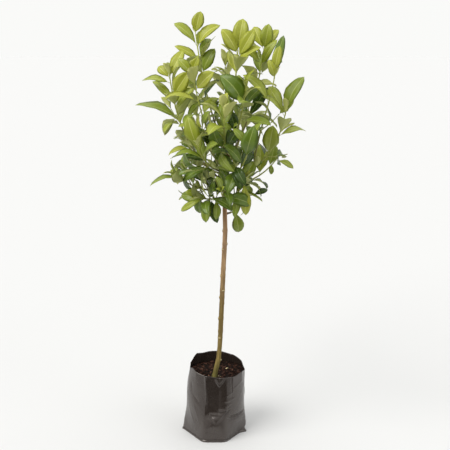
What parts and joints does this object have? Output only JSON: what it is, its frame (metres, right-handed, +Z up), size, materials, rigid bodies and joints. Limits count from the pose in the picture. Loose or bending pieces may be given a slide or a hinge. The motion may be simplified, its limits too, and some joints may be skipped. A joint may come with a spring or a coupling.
{
  "type": "potted standard viburnum",
  "caption": "Evergreen shrub grown as a small tree: a clear slim trunk under an airy head of glossy oval leaves, in a black film planter bag",
  "frame": {"origin": "centre of the bag's flat underside, on the surface it stands on", "axes": "+X to the viewer's right in the picture, +Y away from the viewer, +Z up along the plant"},
  "size_m": [0.657, 0.5409, 1.703],
  "materials": {
    "film": "thin black polythene film, semi-gloss, creased and wrinkled",
    "mix": "dark moist composted bark potting mix with a few pale grains",
    "bark": "smooth tan-brown bark with leaf scars and small raised pores",
    "bough_bark": "young green to brown bark",
    "young_leaves": "soft glossy young leaves, bright yellow-green, paler beneath",
    "grown_leaves": "leathery glossy leaves, mid green, paler beneath",
    "old_leaves": "leathery glossy leaves, dark green, paler beneath"
  },
  "bodies": {
    "root": {"planter_bag": "film", "potting_mix": "mix", "trunk": "bark", "bough_back_left": "bough_bark", "bough_back_low": "bough_bark", "bough_back_right": "bough_bark", "bough_back_top": "bough_bark", "bough_centre": "bough_bark", "bough_far_left": "bough_bark", "bough_front_centre": "bough_bark", "bough_front_left": "bough_bark", "bough_front_low": "bough_bark", "bough_front_right": "bough_bark", "bough_left_leader": "bough_bark", "bough_left_low": "bough_bark", "bough_left_mid": "bough_bark", "bough_low_spur": "bough_bark", "bough_lower_left": "bough_bark", "bough_lower_right": "bough_bark", "bough_mid_left": "bough_bark", "bough_right_lower": "bough_bark", "bough_right_outer": "bough_bark", "bough_right_upper": "bough_bark", "bough_top_centre": "bough_bark", "bough_top_right": "bough_bark", "foliage_back_left": "grown_leaves", "foliage_back_low": "old_leaves", "foliage_back_right": "grown_leaves", "foliage_back_top": "young_leaves", "foliage_centre": "grown_leaves", "foliage_far_left": "young_leaves", "foliage_front_centre": "grown_leaves", "foliage_front_left": "old_leaves", "foliage_front_low": "old_leaves", "foliage_front_right": "old_leaves", "foliage_left_leader": "young_leaves", "foliage_left_low": "old_leaves", "foliage_left_mid": "old_leaves", "foliage_low_spur": "old_leaves", "foliage_lower_left": "old_leaves", "foliage_lower_right": "old_leaves", "foliage_mid_left": "young_leaves", "foliage_right_lower": "old_leaves", "foliage_right_outer": "grown_leaves", "foliage_right_upper": "grown_leaves", "foliage_top_centre": "young_leaves", "foliage_top_right": "young_leaves"}
  },
  "joints": []
}
